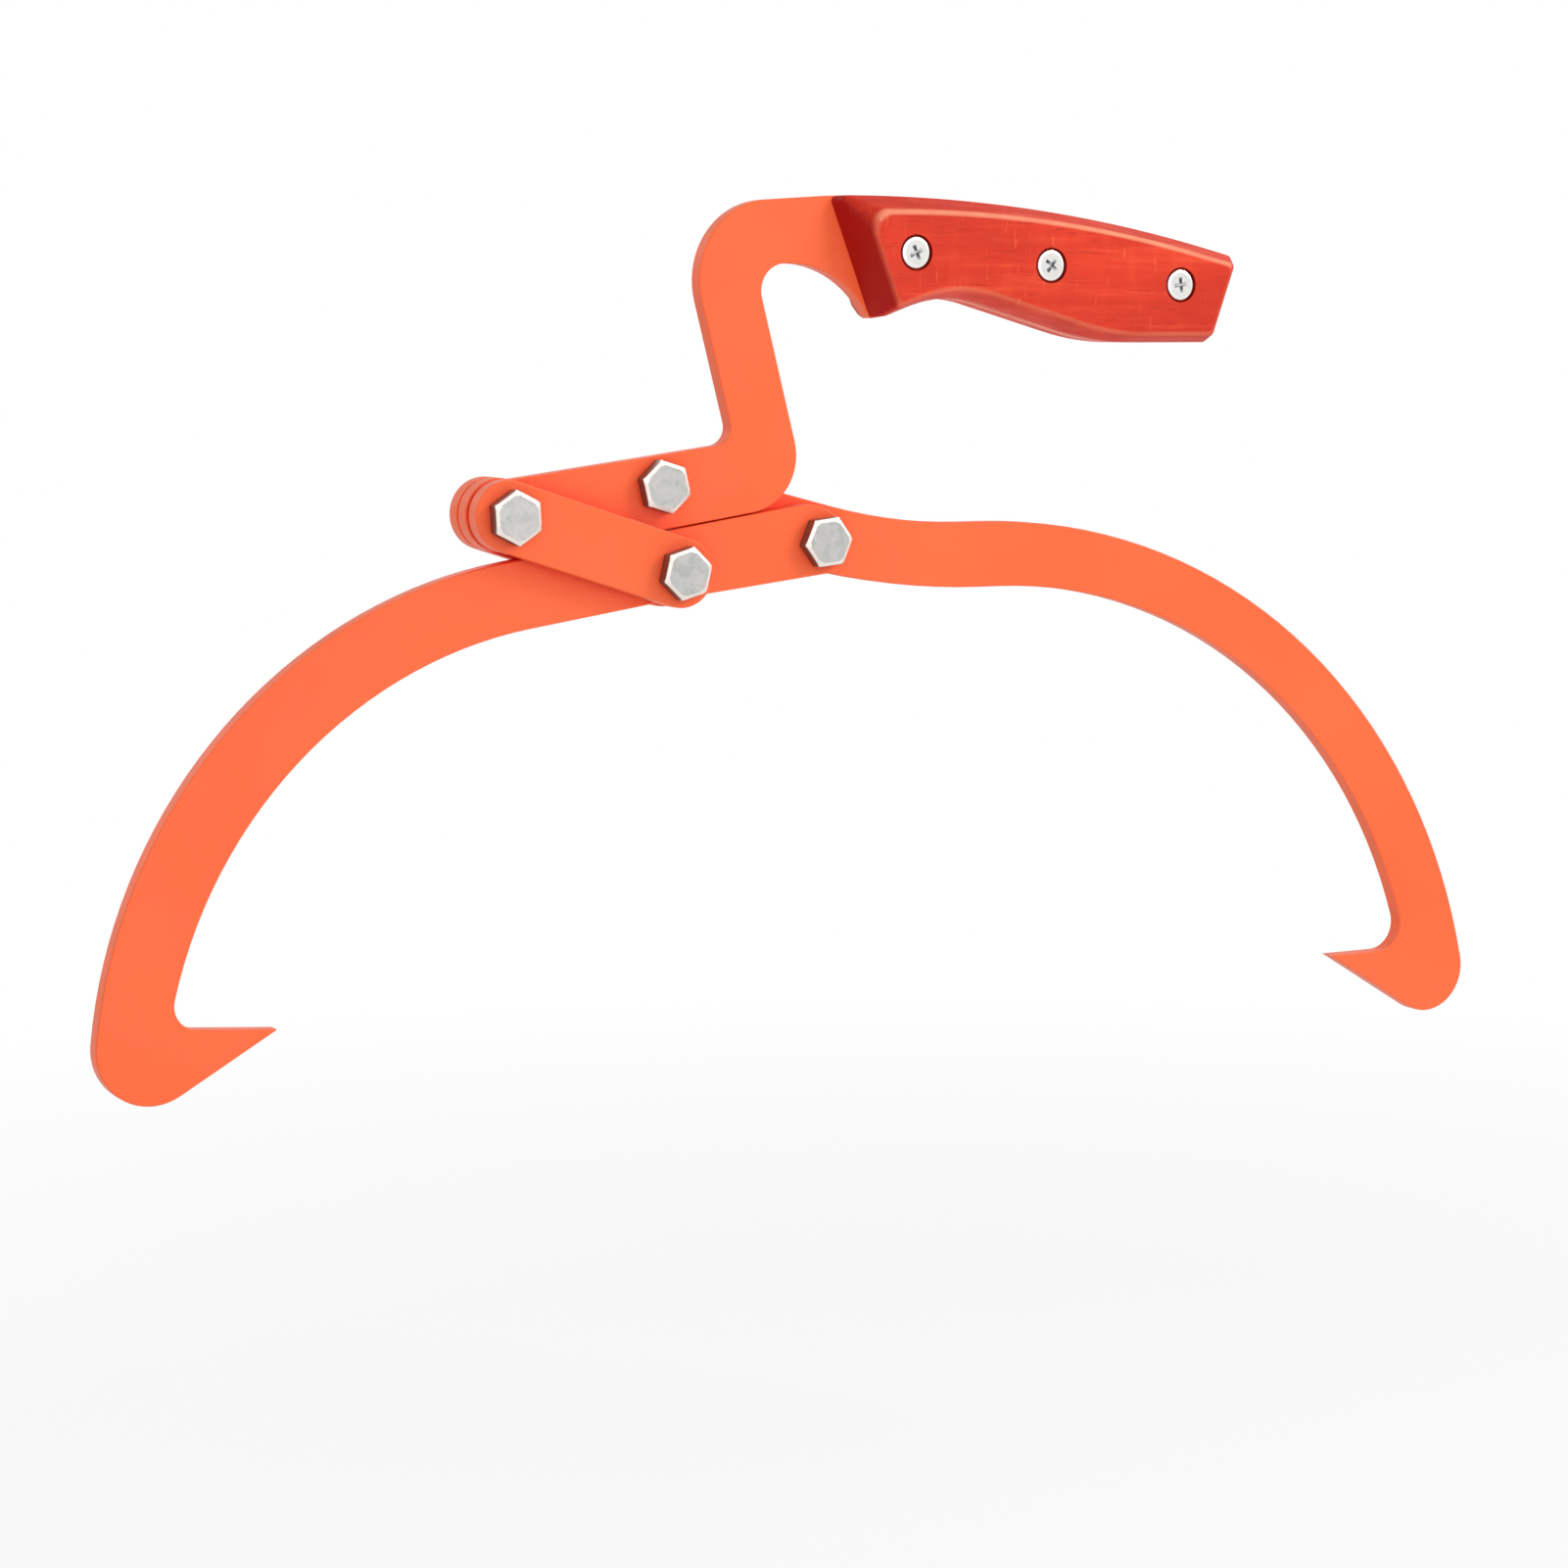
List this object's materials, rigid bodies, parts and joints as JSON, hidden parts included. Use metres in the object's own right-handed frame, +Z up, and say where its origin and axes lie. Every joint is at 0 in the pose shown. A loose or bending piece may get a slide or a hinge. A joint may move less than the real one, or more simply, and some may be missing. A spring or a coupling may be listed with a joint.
{
  "type": "log tongs",
  "caption": "One-hand log tongs: orange steel hook jaws and links on bolted pivots, with a screwed-on wooden grip; lifting the grip closes the jaws.",
  "frame": {"origin": "middle of the grip, on the mid-plane of the handle plate, at the middle grip screw", "axes": "+X from the left jaw towards the right jaw and the end of the grip, +Z up, the way the tongs are lifted, +Y away from the side with the bolt heads"},
  "size_m": [0.4397, 0.0312, 0.2458],
  "materials": {
    "orange_paint": "satin",
    "grip_wood": "stained and oiled",
    "zinc_steel": "zinc plated",
    "bright_screw": "nickel plated",
    "nylon": "matte"
  },
  "bodies": {
    "handle": {"front_grip_scale": "grip_wood", "grip_post_1": "bright_screw", "grip_post_2": "bright_screw", "grip_post_3": "bright_screw", "grip_screw_1": "bright_screw", "grip_screw_2": "bright_screw", "grip_screw_3": "bright_screw", "handle_jaw_bolt": "zinc_steel", "handle_jaw_nut": "zinc_steel", "handle_jaw_nut_ring": "nylon", "handle_jaw_rear_spacer": "zinc_steel", "handle_plate": "orange_paint", "link_handle_bolt": "zinc_steel", "link_handle_front_spacer": "zinc_steel", "link_handle_nut": "zinc_steel", "link_handle_nut_ring": "nylon", "link_handle_rear_spacer": "zinc_steel", "rear_grip_scale": "grip_wood"},
    "right_jaw": {"jaw_jaw_bolt": "zinc_steel", "jaw_jaw_nut": "zinc_steel", "jaw_jaw_nut_ring": "nylon", "jaw_jaw_rear_spacer": "zinc_steel", "right_jaw": "orange_paint"},
    "left_jaw": {"left_jaw": "orange_paint", "link_jaw_bolt": "zinc_steel", "link_jaw_front_spacer": "zinc_steel", "link_jaw_nut": "zinc_steel", "link_jaw_nut_ring": "nylon", "link_jaw_rear_spacer": "zinc_steel"},
    "links": {"front_link": "orange_paint", "rear_link": "orange_paint"}
  },
  "joints": [
    {"name": "right_jaw_pivot", "type": "hinge", "parent": "handle", "child": "right_jaw", "pos_m": [-0.1165, 0, -0.0598], "axis": [0, 1, 0], "range_deg": [0, 95]},
    {"name": "left_jaw_pivot", "type": "hinge", "parent": "right_jaw", "child": "left_jaw", "pos_m": [-0.06676, 0, -0.07596], "axis": [0, 1, 0], "range_deg": [-95, 0]},
    {"name": "link_pivot", "type": "hinge", "parent": "handle", "child": "links", "pos_m": [-0.16298, 0, -0.06675], "axis": [0, 1, 0], "range_deg": [0, 95]}
  ],
  "couplings": [
    {"joint": "left_jaw_pivot", "follows": "right_jaw_pivot", "ratio": -1},
    {"joint": "link_pivot", "follows": "right_jaw_pivot", "ratio": 1}
  ]
}
